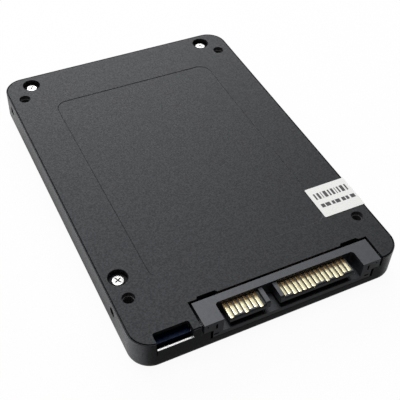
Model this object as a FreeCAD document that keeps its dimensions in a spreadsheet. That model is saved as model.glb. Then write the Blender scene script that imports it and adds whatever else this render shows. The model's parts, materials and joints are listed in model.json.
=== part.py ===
"""Solid state drive, 2.5-inch form factor, 9.5 mm high, as a parametric FreeCAD document.

Frame: X across the width, Y along the length with the SATA connector at the -Y end, Z up.
The drive lies on its label side (z = 0) with its screw side up. The origin is the middle of
the label side. Sizes named *_from_front are measured from the connector end of the case.
"""
import FreeCAD, Part
import math
import os
import re
import Sketcher

SIZES = {
    # case envelope
    "case_width": 69.85,
    "case_length": 100.0,
    "case_height": 9.5,
    "corner_radius": 5.5,
    "belly_radius": 2.2,
    "wall": 1.5,
    "floor_thickness": 1.2,
    # seam between the housing rim and the cover
    "rim_thickness": 0.16,
    "rim_drop": 0.05,
    "rim_round": 0.12,
    "seam_gap": 0.3,
    "flange_thickness": 0.6,
    "cover_thickness": 1.1,
    "cover_clearance": 0.1,
    # mounting holes
    "mount_spacing_x": 61.72,
    "mount_front": 14.0,
    "mount_back": 90.6,
    "mount_boss_radius": 3.0,
    "mount_bore_radius": 1.25,
    "mount_bore_depth": 5.0,
    "mount_boss_gap": 0.02,
    "mount_clearance_radius": 1.5,
    "mount_chamfer": 0.08,
    "side_hole_drop": 3.0,
    "side_hole_depth": 2.6,
    # case screws
    "back_screw_x": 27.27,
    "back_screw_from_front": 96.0,
    "front_screw_x": 30.86,
    "front_screw_from_front": 20.35,
    "cup_radius": 3.0,
    "cup_gap": 0.15,
    "cup_floor": 0.8,
    "counterbore_radius": 2.4,
    "counterbore_depth": 1.7,
    "screw_hole_radius": 1.2,
    "screw_head_radius": 1.5,
    "screw_head_height": 0.75,
    "screw_head_round": 0.2,
    "screw_shank_radius": 0.98,
    "screw_shank_length": 4.4,
    "screw_boss_radius": 2.4,
    "screw_bore_radius": 1.03,
    "screw_bore_depth": 4.2,
    "recess_span": 1.7,
    "recess_width": 0.34,
    "recess_depth": 0.4,
    # recessed panel on the screw side
    "panel_width": 47.8,
    "panel_front": 16.3,
    "panel_back": 85.5,
    "panel_depth": 0.13,
    "panel_slope": 60.0,
    "panel_radius": 3.4,
    # service slot beside the connector
    "slot_left": -30.0,
    "slot_right": -21.2,
    "slot_depth": 3.1,
    "slot_drop": 2.45,
    "slot_round": 0.6,
    "slot_lip": 0.55,
    "slit_width": 0.3,
    "slit_drop": 4.4,
    # connector shell
    "plug_left": -18.7,
    "plug_right": 28.25,
    "plug_front": 0.05,
    "plug_back": 6.8,
    "plug_ear_drop": 3.0,
    "plug_drop": 5.75,
    "plug_ear": 2.4,
    "plug_ear_right": 2.05,
    "plug_gap": 0.66,
    "plug_wall_gap": 0.05,
    "mouth_left": -13.85,
    "mouth_right": 23.3,
    "mouth_back": 4.8,
    "mouth_drop": 4.4,
    "mouth_round": 0.8,
    "dot_size": 0.4,
    "dot_drop": 0.85,
    "dot_shift": 1.25,
    "bar_width": 1.2,
    "bar_height": 0.45,
    "bar_drop": 4.4,
    "window_width": 0.5,
    "window_height": 1.6,
    "window_drop": 1.0,
    "inner_shift": 0.95,
    "face_shift": 0.2,
    "face_pocket_depth": 0.8,
    "notch_left": -16.7,
    "notch_right": 21.9,
    "notch_width": 4.4,
    "notch_back": 8.05,
    "notch_slant": 0.5,
    # tongue and contacts
    "tongue_drop": 1.4,
    "tongue_thickness": 1.6,
    "tongue_front": 0.28,
    "tongue_bevel": 0.35,
    "signal_left": -12.04,
    "signal_right": -1.75,
    "power_left": 1.0,
    "power_right": 21.05,
    "key_width": 1.05,
    "key_rise": 0.8,
    "contact_pitch": 1.27,
    "contact_width": 0.9,
    "contact_thickness": 0.2,
    "contact_proud": 0.05,
    "contact_play": 0.01,
    "contact_tip": 0.9,
    "contact_reach": 0.5,
    "first_signal_x": -11.46,
    "first_power_x": 2.51,
    "contact_bend": 7.3,
    "contact_heel": 8.6,
    "tongue_root": 0.5,
    # hold-down tabs soldered to the board on both sides of the connector
    "tab_width": 3.2,
    "tab_length": 2.1,
    "tab_reach": 2.2,
    "tab_from_front": 3.35,
    # board
    "board_drop": 3.3,
    "board_thickness": 1.0,
    "board_tab_half": 32.2,
    "board_half": 27.4,
    "board_front": 2.2,
    "board_shoulder": 9.9,
    "board_back": 86.0,
    "board_corner": 2.3,
    "board_nick": 1.0,
    "board_screw_x": 24.0,
    "board_screw_front": 13.0,
    "board_screw_back": 82.0,
    "board_hole_radius": 1.1,
    "post_radius": 2.3,
    "board_screw_head_radius": 1.7,
    "board_screw_head_height": 0.8,
    "board_screw_shank_radius": 0.78,
    "board_screw_shank_length": 3.6,
    "board_bore_radius": 0.82,
    "board_bore_depth": 3.2,
    # packages
    "flash_width": 14.0,
    "flash_length": 18.0,
    "flash_height": 1.2,
    "flash_x": 11.5,
    "flash_front": 46.5,
    "flash_pitch": 21.5,
    "package_round": 0.12,
    "pad_width": 15.0,
    "pad_length": 42.0,
    "pad_thickness": 1.0,
    "pad_middle": 57.25,
    "pad_margin": 1.0,
    # labels
    "label_width": 50.0,
    "label_front": 20.0,
    "label_back": 84.0,
    "label_recess": 0.2,
    "label_thickness": 0.1,
    "label_radius": 2.0,
    "label_margin": 0.3,
    "seal_left": 23.2,
    "seal_front": 16.75,
    "seal_back": 27.0,
    "seal_thickness": 0.1,
    "seal_radius": 0.4,
    "seal_gap": 0.02,
    "seal_drop": 4.9,
    "seal_bend": 0.09,
}

# Differences smaller than this count as none: in mm, in cubic mm and between directions.
SAME = 1e-3

# Long contacts, which mate first: ground on the signal side, ground and pre-charge on the
# power side, counted from 1 at the left.
LONG_SIGNAL = (1, 4, 7)
LONG_POWER = (3, 4, 5, 6, 7, 10, 12, 13)
SIGNAL_COUNT = 7
POWER_COUNT = 15

# name, middle x, middle from front, width, length, height of each single package
PACKAGES = (
    ("controller_chip", -6.5, 26.0, 17.0, 17.0, 1.2),
    ("memory_buffer_chip", 12.0, 26.5, 9.0, 13.0, 1.0),
    ("power_regulator_chip", 9.5, 13.5, 5.0, 5.0, 0.8),
    ("crystal_oscillator", -19.5, 22.5, 2.5, 3.2, 0.7),
)

# Groups of identical parts: name, width, length, height, (x, from front) of each
GROUPS = (
    ("power_inductors", 4.0, 4.0, 1.8, ((15.6, 13.5), (20.5, 20.0))),
    ("hold_up_capacitors", 4.3, 7.3, 1.9,
     ((-15.0, 81.0), (-9.0, 81.0), (-3.0, 81.0), (3.0, 81.0), (9.0, 81.0), (15.0, 81.0))),
    ("ceramic_capacitors", 0.8, 1.6, 0.8,
     ((-16.6, 18.5), (-16.6, 21.0), (-16.6, 23.5), (-16.6, 26.0), (-16.6, 28.5), (-16.6, 31.0),
      (3.6, 19.5), (3.6, 22.0), (3.6, 24.5), (3.6, 27.0), (3.6, 29.5), (3.6, 32.0),
      (5.6, 12.0), (5.6, 14.5), (19.0, 27.0), (19.0, 29.5), (19.0, 32.0),
      (-21.5, 44.0), (-21.5, 66.0), (21.5, 44.0), (21.5, 66.0), (0.0, 46.0), (0.0, 68.0))),
    ("chip_resistors", 1.0, 0.5, 0.4,
     ((-13.5, 13.0), (-11.5, 13.0), (-9.5, 13.0), (-7.5, 13.0), (-5.5, 13.0), (-3.5, 13.0),
      (-1.5, 13.0), (0.5, 13.0), (-13.5, 14.4), (-11.5, 14.4), (-9.5, 14.4), (-7.5, 14.4),
      (-22.0, 30.0), (-22.0, 31.4), (-22.0, 32.8), (22.0, 34.0), (22.0, 35.4), (22.0, 36.8))),
)

doc = FreeCAD.newDocument("solid_state_drive")
sheet = doc.addObject("Spreadsheet::Sheet", "sizes")
for row, (alias, number) in enumerate(SIZES.items(), start=1):
    sheet.set(f"A{row}", alias.replace("_", " "))
    sheet.set(f"B{row}", str(number))
    sheet.setAlias(f"B{row}", alias)
doc.recompute()

nodes = []


def spell(formula):
    """A formula of size names, written the way other objects of the document read it."""
    def name(match):
        word = match.group(0)
        return f"sizes.{word}" if word in SIZES else word
    return re.sub(r"[a-z]\w*", name, str(formula))


def worth(formula):
    return float(sheet.evalExpression(str(formula)))


def from_front(formula):
    return f"{formula} - case_length / 2"


def bind(thing, **formulas):
    for prop, formula in formulas.items():
        thing.setExpression(prop, spell(formula))


def place(thing, x="0", y="0", z="0"):
    for axis, formula in (("x", x), ("y", y), ("z", z)):
        thing.setExpression(f"Placement.Base.{axis}", spell(formula))


# ---- sketch helpers -------------------------------------------------------------------

def new_body(label):
    body = doc.addObject("PartDesign::Body", label)
    body.Label = label
    nodes.append(body)
    return body


def new_sketch(body, name, plane="XY_Plane", height="0"):
    sketch = body.newObject("Sketcher::SketchObject", f"{body.Label}_{name}")
    origin_plane = [item for item in body.Origin.OriginFeatures if item.Role == plane][0]
    sketch.AttachmentSupport = (origin_plane, [""])
    sketch.MapMode = "FlatFace"
    sketch.setExpression("AttachmentOffset.Base.z", spell(height))
    return sketch


def pin(sketch, kind, index, point, formula):
    """Fix one coordinate of a point of the sketch to a formula."""
    constraint = Sketcher.Constraint(kind, -1, 1, index, point, worth(formula))
    number = sketch.addConstraint(constraint)
    sketch.setExpression(f"Constraints[{number}]", spell(formula))


def polygon(sketch, points):
    """A closed outline with every corner fixed by formulas."""
    corners = [FreeCAD.Vector(worth(x), worth(y), 0) for x, y in points]
    first = sketch.GeometryCount
    count = len(corners)
    for i in range(count):
        sketch.addGeometry(Part.LineSegment(corners[i], corners[(i + 1) % count]), False)
    for i in range(count):
        sketch.addConstraint(
            Sketcher.Constraint("Coincident", first + i, 2, first + (i + 1) % count, 1))
    for i, (x, y) in enumerate(points):
        pin(sketch, "DistanceX", first + i, 1, x)
        pin(sketch, "DistanceY", first + i, 1, y)


def rectangle(sketch, left, low, right, high):
    polygon(sketch, ((left, low), (right, low), (right, high), (left, high)))


def rounded_rectangle(sketch, left, low, right, high, radius):
    """A rectangle with equal corner arcs, held by its four sides and one radius."""
    west, south, east, north, size = (worth(item) for item in (left, low, right, high, radius))
    up = FreeCAD.Vector(0, 0, 1)
    sides = (
        ((west + size, south), (east - size, south), "Horizontal"),
        ((east, south + size), (east, north - size), "Vertical"),
        ((east - size, north), (west + size, north), "Horizontal"),
        ((west, north - size), (west, south + size), "Vertical"),
    )
    centres = (
        (east - size, south + size, -0.5),
        (east - size, north - size, 0.0),
        (west + size, north - size, 0.5),
        (west + size, south + size, 1.0),
    )
    lines = []
    arcs = []
    for (start, end, direction), (x, y, turn) in zip(sides, centres):
        line = Part.LineSegment(FreeCAD.Vector(*start, 0), FreeCAD.Vector(*end, 0))
        lines.append(sketch.addGeometry(line, False))
        sketch.addConstraint(Sketcher.Constraint(direction, lines[-1]))
        round_part = Part.Circle(FreeCAD.Vector(x, y, 0), up, size)
        arc = Part.ArcOfCircle(round_part, turn * math.pi, (turn + 0.5) * math.pi)
        arcs.append(sketch.addGeometry(arc, False))
    for i in range(4):
        sketch.addConstraint(Sketcher.Constraint("Tangent", lines[i], 2, arcs[i], 1))
        sketch.addConstraint(Sketcher.Constraint("Tangent", arcs[i], 2, lines[(i + 1) % 4], 1))
    for arc in arcs[1:]:
        sketch.addConstraint(Sketcher.Constraint("Equal", arcs[0], arc))
    number = sketch.addConstraint(Sketcher.Constraint("Radius", arcs[0], size))
    sketch.setExpression(f"Constraints[{number}]", spell(radius))
    pin(sketch, "DistanceY", lines[0], 1, low)
    pin(sketch, "DistanceX", lines[1], 1, right)
    pin(sketch, "DistanceY", lines[2], 1, high)
    pin(sketch, "DistanceX", lines[3], 1, left)


def circle(sketch, x, y, radius):
    centre = FreeCAD.Vector(worth(x), worth(y), 0)
    up = FreeCAD.Vector(0, 0, 1)
    index = sketch.addGeometry(Part.Circle(centre, up, worth(radius)), False)
    pin(sketch, "DistanceX", index, 3, x)
    pin(sketch, "DistanceY", index, 3, y)
    number = sketch.addConstraint(Sketcher.Constraint("Radius", index, worth(radius)))
    sketch.setExpression(f"Constraints[{number}]", spell(radius))


def pad(body, sketch, length, backwards=False, midplane=False):
    feature = body.newObject("PartDesign::Pad", f"{sketch.Name}_pad")
    feature.Profile = sketch
    feature.Reversed = backwards
    feature.Midplane = midplane
    bind(feature, Length=length)
    doc.recompute()
    return feature


def pocket(body, sketch, length, backwards=False):
    """Cut the sketch into the body, and insist that material really went."""
    before = body.Shape.Volume
    feature = body.newObject("PartDesign::Pocket", f"{sketch.Name}_pocket")
    feature.Profile = sketch
    feature.Reversed = backwards
    bind(feature, Length=length)
    doc.recompute()
    if feature.Shape.Volume > before - SAME:
        raise RuntimeError(f"{feature.Name} cuts nothing")
    return feature


def dress(body, kind, wanted, **formulas):
    """Fillet or chamfer the edges of the last feature that the test wanted() picks."""
    base = body.Tip
    names = [f"Edge{i}" for i, edge in enumerate(base.Shape.Edges, start=1) if wanted(edge)]
    feature = body.newObject(f"PartDesign::{kind}", f"{body.Label}_{kind.lower()}")
    feature.Base = (base, names)
    bind(feature, **formulas)
    doc.recompute()
    return feature


def repeat_x(body, feature, pitch, count):
    """Repeat a feature along X."""
    pattern = body.newObject("PartDesign::LinearPattern", f"{feature.Name}_row")
    pattern.Originals = [feature]
    axis = [item for item in body.Origin.OriginFeatures if item.Role == "X_Axis"][0]
    pattern.Direction = (axis, [""])
    pattern.Occurrences = count
    bind(pattern, Length=f"{pitch} * {count - 1}")
    body.Tip = pattern
    doc.recompute()
    return pattern


def is_upright(edge):
    return abs(edge.tangentAt(edge.FirstParameter).z) > 1 - SAME


def is_level(edge, height):
    box = edge.BoundBox
    return abs(box.ZMin - height) < SAME and abs(box.ZMax - height) < SAME


def is_round(edge, x, y):
    """Is x, y the middle of this edge?"""
    centre = edge.BoundBox.Center
    return abs(centre.x - worth(x)) < SAME and abs(centre.y - worth(y)) < SAME


# ---- places that several pieces share ---------------------------------------------------

BOARD_TOP = "case_height - board_drop"
BOARD_BOTTOM = "case_height - board_drop - board_thickness"
CUP_BOTTOM = "case_height - counterbore_depth - cup_floor"
COVER_BOTTOM = "case_height - cover_thickness"
LEDGE = "case_height - flange_thickness"
TONGUE_TOP = "case_height - tongue_drop"

# How far a cutting sketch runs past the material it cuts.
OVERCUT = "1"
BEFORE_FRONT = f"-case_length / 2 - {OVERCUT}"
INSIDE_FRONT = f"-case_length / 2 + wall + {OVERCUT}"

MOUNTS = [(f"{side} * mount_spacing_x / 2", from_front(where))
          for side in (-1, 1) for where in ("mount_front", "mount_back")]

CASE_SCREWS = {
    "front_left_case_screw": ("-front_screw_x", from_front("front_screw_from_front")),
    "seal_side_case_screw": ("front_screw_x", from_front("front_screw_from_front")),
    "back_left_case_screw": ("-back_screw_x", from_front("back_screw_from_front")),
    "back_right_case_screw": ("back_screw_x", from_front("back_screw_from_front")),
}

BOARD_SCREWS = {
    "front_left_board_screw": ("-board_screw_x", from_front("board_screw_front")),
    "front_right_board_screw": ("board_screw_x", from_front("board_screw_front")),
    "back_left_board_screw": ("-board_screw_x", from_front("board_screw_back")),
    "back_right_board_screw": ("board_screw_x", from_front("board_screw_back")),
}


def outline(sketch, inset):
    """The case's plan with its round corners, moved in by inset."""
    rounded_rectangle(sketch, f"-case_width / 2 + {inset}", f"-case_length / 2 + {inset}",
                      f"case_width / 2 - ({inset})", f"case_length / 2 - ({inset})",
                      f"corner_radius - ({inset})")


# ---- housing: the label-side shell with the walls ----------------------------------------

def make_housing():
    body = new_body("housing")
    plan = new_sketch(body, "plan")
    outline(plan, "0")
    pad(body, plan, "case_height - rim_drop")
    dress(body, "Fillet", lambda edge: is_level(edge, 0), Radius="belly_radius")
    top = worth("case_height - rim_drop")
    dress(body, "Fillet", lambda edge: is_level(edge, top), Radius="rim_round")

    cavity = new_sketch(body, "cavity", height="case_height")
    outline(cavity, "wall")
    pocket(body, cavity, "case_height - floor_thickness")

    bosses = new_sketch(body, "mount_bosses", height="floor_thickness / 2")
    for x, y in MOUNTS:
        circle(bosses, x, y, "mount_boss_radius")
    pad(body, bosses, f"{COVER_BOTTOM} - mount_boss_gap - floor_thickness / 2")
    seats = new_sketch(body, "screw_bosses", height="floor_thickness / 2")
    for x, y in CASE_SCREWS.values():
        circle(seats, x, y, "screw_boss_radius")
    pad(body, seats, f"{CUP_BOTTOM} - floor_thickness / 2")
    posts = new_sketch(body, "board_posts", height="floor_thickness / 2")
    for x, y in BOARD_SCREWS.values():
        circle(posts, x, y, "post_radius")
    pad(body, posts, f"{BOARD_BOTTOM} - floor_thickness / 2")
    plinths = new_sketch(body, "cooling_plinths", height="floor_thickness / 2")
    for side in (-1, 1):
        rectangle(plinths, f"{side} * flash_x - pad_width / 2 - pad_margin",
                  from_front("pad_middle - pad_length / 2 - pad_margin"),
                  f"{side} * flash_x + pad_width / 2 + pad_margin",
                  from_front("pad_middle + pad_length / 2 + pad_margin"))
    pad(body, plinths, f"{BOARD_BOTTOM} - flash_height - pad_thickness - floor_thickness / 2")

    ledge = new_sketch(body, "ledge", height="case_height")
    outline(ledge, "rim_thickness")
    pocket(body, ledge, "flange_thickness")

    scallops = new_sketch(body, "cup_scallops", height="case_height")
    for x, y in CASE_SCREWS.values():
        circle(scallops, x, y, "cup_radius + cup_gap")
    pocket(body, scallops, f"case_height - ({CUP_BOTTOM})")

    bores = new_sketch(body, "mount_bores", height="case_height")
    for x, y in MOUNTS:
        circle(bores, x, y, "mount_bore_radius")
    pocket(body, bores, "cover_thickness + mount_boss_gap + mount_bore_depth")
    threads = new_sketch(body, "screw_bores", height="case_height")
    for x, y in CASE_SCREWS.values():
        circle(threads, x, y, "screw_bore_radius")
    pocket(body, threads, "counterbore_depth + cup_floor + screw_bore_depth")
    taps = new_sketch(body, "board_bores", height=BOARD_BOTTOM)
    for x, y in BOARD_SCREWS.values():
        circle(taps, x, y, "board_bore_radius")
    pocket(body, taps, "board_bore_depth")

    for name, height, backwards in (("left", "-case_width / 2", True),
                                    ("right", "case_width / 2", False)):
        side_holes = new_sketch(body, f"{name}_side_holes", "YZ_Plane", height)
        for where in ("mount_front", "mount_back"):
            circle(side_holes, from_front(where), "case_height - side_hole_drop",
                   "mount_bore_radius")
        pocket(body, side_holes, "side_hole_depth", backwards)

    # Openings in the front wall: the service slot over its thin lip, the slit at its end, and
    # the connector's two steps.
    front = new_sketch(body, "front_openings", height="case_height")
    rectangle(front, "slot_left", BEFORE_FRONT, "slot_right", INSIDE_FRONT)
    pocket(body, front, "slot_drop")
    lip = new_sketch(body, "slot_lip", height="case_height")
    rectangle(lip, "slot_left", "-case_length / 2 + slot_lip", "slot_right", INSIDE_FRONT)
    pocket(body, lip, "board_drop + board_thickness")
    slit = new_sketch(body, "slit", height="case_height")
    rectangle(slit, "slot_left - slit_width / 2", BEFORE_FRONT, "slot_left + slit_width / 2",
              INSIDE_FRONT)
    pocket(body, slit, "slit_drop")
    ears = new_sketch(body, "connector_ears", height="case_height")
    rectangle(ears, "plug_left - plug_gap", BEFORE_FRONT, "plug_right + plug_gap", INSIDE_FRONT)
    pocket(body, ears, "plug_ear_drop + plug_wall_gap")
    throat = new_sketch(body, "connector_throat", height="case_height")
    rectangle(throat, "plug_left + plug_ear - plug_gap", BEFORE_FRONT,
              "plug_right - plug_ear_right + plug_gap", INSIDE_FRONT)
    pocket(body, throat, "plug_drop + plug_wall_gap")

    label_bed = new_sketch(body, "label_bed", height="0")
    rectangle(label_bed, "-label_width / 2 - label_margin", from_front("label_front - label_margin"),
              "label_width / 2 + label_margin", from_front("label_back + label_margin"))
    pocket(body, label_bed, "label_recess", backwards=True)
    return body


# ---- cover: the screw-side plate -----------------------------------------------------------

def make_cover():
    body = new_body("bottom_cover")
    flange = new_sketch(body, "flange", height=LEDGE)
    outline(flange, "rim_thickness + seam_gap")
    pad(body, flange, "flange_thickness")
    # The plate's inner step drops between the walls, and each screw has a cup under it.
    step = new_sketch(body, "step", height=COVER_BOTTOM)
    outline(step, "wall + cover_clearance")
    pad(body, step, "cover_thickness - flange_thickness / 2")
    cups = new_sketch(body, "cups", height=CUP_BOTTOM)
    for x, y in CASE_SCREWS.values():
        circle(cups, x, y, "cup_radius")
    pad(body, cups, "counterbore_depth + cup_floor")

    # The service slot, and the connector's opening with a notch behind each end.
    slot_back = from_front("slot_depth")
    cut_back = from_front("plug_back + plug_gap")
    notch_back = from_front("notch_back")
    openings = new_sketch(body, "front_openings", height="case_height")
    rectangle(openings, "slot_left", BEFORE_FRONT, "slot_right", slot_back)
    polygon(openings, (
        ("plug_left - plug_gap", BEFORE_FRONT),
        ("plug_right + plug_gap", BEFORE_FRONT),
        ("plug_right + plug_gap", cut_back),
        ("notch_right + notch_width + notch_slant", cut_back),
        ("notch_right + notch_width", notch_back),
        ("notch_right", notch_back),
        ("notch_right - notch_slant", cut_back),
        ("notch_left + notch_width + notch_slant", cut_back),
        ("notch_left + notch_width", notch_back),
        ("notch_left", notch_back),
        ("notch_left - notch_slant", cut_back),
        ("plug_left - plug_gap", cut_back),
    ))
    pocket(body, openings, f"cover_thickness + {OVERCUT}")
    slot_y = worth(slot_back)
    dress(body, "Fillet",
          lambda edge: is_upright(edge) and abs(edge.BoundBox.YMin - slot_y) < SAME,
          Radius="slot_round")

    panel = new_sketch(body, "panel", height="case_height")
    rounded_rectangle(panel, "-panel_width / 2", from_front("panel_front"),
                      "panel_width / 2", from_front("panel_back"), "panel_radius")
    recess = pocket(body, panel, "panel_depth")
    bind(recess, TaperAngle="-panel_slope")
    doc.recompute()

    counterbores = new_sketch(body, "counterbores", height="case_height")
    for x, y in CASE_SCREWS.values():
        circle(counterbores, x, y, "counterbore_radius")
    pocket(body, counterbores, "counterbore_depth")
    screw_holes = new_sketch(body, "screw_holes", height="case_height")
    for x, y in CASE_SCREWS.values():
        circle(screw_holes, x, y, "screw_hole_radius")
    pocket(body, screw_holes, f"counterbore_depth + cup_floor + {OVERCUT}")
    mount_holes = new_sketch(body, "mount_holes", height="case_height")
    for x, y in MOUNTS:
        circle(mount_holes, x, y, "mount_clearance_radius")
    pocket(body, mount_holes, f"cover_thickness + {OVERCUT}")

    top = worth("case_height")
    round_holes = [(x, y) for x, y in MOUNTS] + list(CASE_SCREWS.values())
    dress(body, "Chamfer",
          lambda edge: is_level(edge, top)
          and any(is_round(edge, x, y) for x, y in round_holes),
          Size="mount_chamfer")
    return body


# ---- fasteners -------------------------------------------------------------------------------

def make_screw(label, x, y, seat, head_radius, head_height, shank_radius, shank_length):
    """A pan-head screw with a cross recess, its head standing on the height called seat."""
    body = new_body(label)
    head = new_sketch(body, "head")
    circle(head, "0", "0", head_radius)
    pad(body, head, head_height)
    head_top = worth(head_height)
    dress(body, "Fillet", lambda edge: is_level(edge, head_top), Radius="screw_head_round")
    shank = new_sketch(body, "shank")
    circle(shank, "0", "0", shank_radius)
    pad(body, shank, shank_length, backwards=True)
    tip = -worth(shank_length)
    dress(body, "Chamfer", lambda edge: is_level(edge, tip), Size="screw_head_round")
    arm = "recess_span / 2"
    half = "recess_width / 2"
    recess = new_sketch(body, "recess", height=head_height)
    polygon(recess, (
        (f"-{arm}", f"-{half}"), (f"-{half}", f"-{half}"), (f"-{half}", f"-{arm}"),
        (half, f"-{arm}"), (half, f"-{half}"), (arm, f"-{half}"),
        (arm, half), (half, half), (half, arm),
        (f"-{half}", arm), (f"-{half}", half), (f"-{arm}", half),
    ))
    pocket(body, recess, "recess_depth")
    place(body, x, y, seat)
    return body


# ---- connector -------------------------------------------------------------------------------

def make_connector_shell():
    body = new_body("sata_connector_housing")
    ears = new_sketch(body, "ears", height="case_height - plug_ear_drop")
    rectangle(ears, "plug_left", from_front("plug_front"), "plug_right", from_front("plug_back"))
    pad(body, ears, "plug_ear_drop")
    block = new_sketch(body, "block", height="case_height - plug_drop")
    rectangle(block, "plug_left + plug_ear", from_front("plug_front"),
              "plug_right - plug_ear_right", from_front("plug_back"))
    pad(body, block, "plug_drop - plug_ear_drop")

    mouth = new_sketch(body, "mouth", height="case_height")
    rectangle(mouth, "mouth_left", BEFORE_FRONT, "mouth_right", from_front("mouth_back"))
    pocket(body, mouth, "mouth_drop")
    mouth_y = worth(from_front("mouth_back"))
    dress(body, "Fillet",
          lambda edge: is_upright(edge) and abs(edge.BoundBox.YMin - mouth_y) < SAME,
          Radius="mouth_round")

    root = from_front("mouth_back + tongue_root")
    for name, left, right in (("signal_tongue", "signal_left", "signal_right"),
                              ("power_tongue", "power_left", "power_right")):
        tongue = new_sketch(body, name, height=f"{TONGUE_TOP} - tongue_thickness")
        rectangle(tongue, left, from_front("tongue_front"), right, root)
        pad(body, tongue, "tongue_thickness")
    keys = new_sketch(body, "keys", height=f"{TONGUE_TOP} - tongue_thickness")
    for left, right in (("signal_right - key_width", "signal_right"),
                        ("power_left", "power_left + key_width")):
        rectangle(keys, left, from_front("tongue_front"), right, root)
    pad(body, keys, "tongue_thickness + key_rise")
    tongue_y = worth(from_front("tongue_front"))
    dress(body, "Chamfer",
          lambda edge: abs(edge.BoundBox.YMin - tongue_y) < SAME
          and abs(edge.BoundBox.YMax - tongue_y) < SAME and not is_upright(edge),
          Size="tongue_bevel")

    # Each contact lies in a groove of its own, which runs on through the back wall.
    low = f"{TONGUE_TOP} + contact_proud - contact_thickness - contact_play"
    high = f"{TONGUE_TOP} + contact_proud + contact_play"
    half = "(contact_width / 2 + contact_play)"
    for name, first, count, longs in (
            ("signal", "first_signal_x", SIGNAL_COUNT, LONG_SIGNAL),
            ("power", "first_power_x", POWER_COUNT, LONG_POWER)):
        groove = new_sketch(body, f"{name}_groove", "XZ_Plane",
                            "case_length / 2 - contact_tip + contact_play")
        rectangle(groove, f"{first} - {half}", low, f"{first} + {half}", high)
        cut = pocket(body, groove, f"plug_back - contact_tip + {OVERCUT}")
        repeat_x(body, cut, "contact_pitch", count)
        tips = new_sketch(body, f"{name}_long_tips", "XZ_Plane",
                          "case_length / 2 - contact_tip + contact_reach + contact_play")
        for number in longs:
            middle = f"{first} + {number - 1} * contact_pitch"
            rectangle(tips, f"{middle} - {half}", low, f"{middle} + {half}", high)
        pocket(body, tips, "contact_reach + 2 * contact_play")

    # Moulding pockets in the front of both end blocks: an outer dot, an inner window and bar.
    face = new_sketch(body, "face_pockets", "XZ_Plane", "case_length / 2 - plug_front")
    for middle, side in (("(plug_left + mouth_left) / 2", -1),
                         ("(plug_right + mouth_right) / 2", 1)):
        outer = f"{middle} + {side} * (dot_shift + face_shift)"
        rectangle(face, f"{outer} - dot_size / 2", "case_height - dot_drop - dot_size",
                  f"{outer} + dot_size / 2", "case_height - dot_drop")
        inner = f"{middle} - {side} * (inner_shift - face_shift)"
        rectangle(face, f"{inner} - bar_width / 2", "case_height - bar_drop - bar_height",
                  f"{inner} + bar_width / 2", "case_height - bar_drop")
        rectangle(face, f"{inner} - window_width / 2",
                  "case_height - window_drop - window_height",
                  f"{inner} + window_width / 2", "case_height - window_drop")
    pocket(body, face, "face_pocket_depth")
    return body


def make_contacts(label, first, count, longs):
    """Blades on the tongue that turn down behind the shell and end as feet on the board."""
    body = new_body(label)
    body.AllowCompound = True
    top = f"{TONGUE_TOP} + contact_proud"
    foot_top = f"{BOARD_TOP} + contact_thickness"
    side = new_sketch(body, "side", "YZ_Plane", f"{first} - contact_width / 2")
    polygon(side, (
        (from_front("contact_tip"), f"{top} - contact_thickness"),
        (from_front("contact_bend"), f"{top} - contact_thickness"),
        (from_front("contact_bend"), BOARD_TOP),
        (from_front("contact_heel"), BOARD_TOP),
        (from_front("contact_heel"), foot_top),
        (from_front("contact_bend + contact_thickness"), foot_top),
        (from_front("contact_bend + contact_thickness"), top),
        (from_front("contact_tip"), top),
    ))
    blade = pad(body, side, "contact_width")
    repeat_x(body, blade, "contact_pitch", count)
    tips = new_sketch(body, "long_tips", height=f"{top} - contact_thickness")
    for number in longs:
        left = f"{first} + {number - 1} * contact_pitch - contact_width / 2"
        rectangle(tips, left, from_front("contact_tip - contact_reach"),
                  f"{left} + contact_width", from_front("contact_tip + contact_thickness"))
    pad(body, tips, "contact_thickness")
    return body


# ---- board -----------------------------------------------------------------------------------

def make_board():
    body = new_body("circuit_board")
    plan = new_sketch(body, "plan", height=BOARD_BOTTOM)
    front = from_front("board_front")
    shoulder = from_front("board_shoulder")
    throat_back = from_front("plug_back + plug_gap")
    polygon(plan, (
        ("-board_tab_half + board_corner", front),
        ("plug_left + plug_ear - plug_gap", front),
        ("plug_left + plug_ear - plug_gap", throat_back),
        ("plug_right - plug_ear_right + plug_gap", throat_back),
        ("plug_right - plug_ear_right + plug_gap", front),
        ("board_tab_half - board_corner", front),
        ("board_tab_half", f"{front} + board_corner"),
        ("board_tab_half", shoulder),
        ("board_half", f"{shoulder} + board_nick"),
        ("board_half", from_front("board_back - board_nick")),
        ("board_half - board_nick", from_front("board_back")),
        ("-board_half + board_nick", from_front("board_back")),
        ("-board_half", from_front("board_back - board_nick")),
        ("-board_half", f"{shoulder} + board_nick"),
        ("-board_tab_half", shoulder),
        ("-board_tab_half", f"{front} + board_corner"),
    ))
    pad(body, plan, "board_thickness")
    holes = new_sketch(body, "screw_holes", height=BOARD_TOP)
    for x, y in BOARD_SCREWS.values():
        circle(holes, x, y, "board_hole_radius")
    pocket(body, holes, f"board_thickness + {OVERCUT}")
    return body


# ---- simple blocks ---------------------------------------------------------------------------

def block(label, x, y, low, width, length, height):
    """A box centred on x, y, standing on the height low."""
    box = doc.addObject("Part::Box", label)
    box.Label = label
    bind(box, Width=length, Length=width, Height=height)
    place(box, f"{x} - ({width}) / 2", f"{y} - ({length}) / 2", low)
    return box


def rounded_block(label, x, y, low, width, length, height, radius="package_round"):
    """A block with its upright edges rounded, as one node."""
    raw = block(f"{label}_block", x, y, low, width, length, height)
    doc.recompute()
    smooth = doc.addObject("Part::Fillet", label)
    smooth.Label = label
    smooth.Base = raw
    size = worth(radius)
    upright = [i for i, edge in enumerate(raw.Shape.Edges, start=1) if is_upright(edge)]
    smooth.Edges = [(i, size, size) for i in upright]
    doc.recompute()
    nodes.append(smooth)
    return smooth


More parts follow.
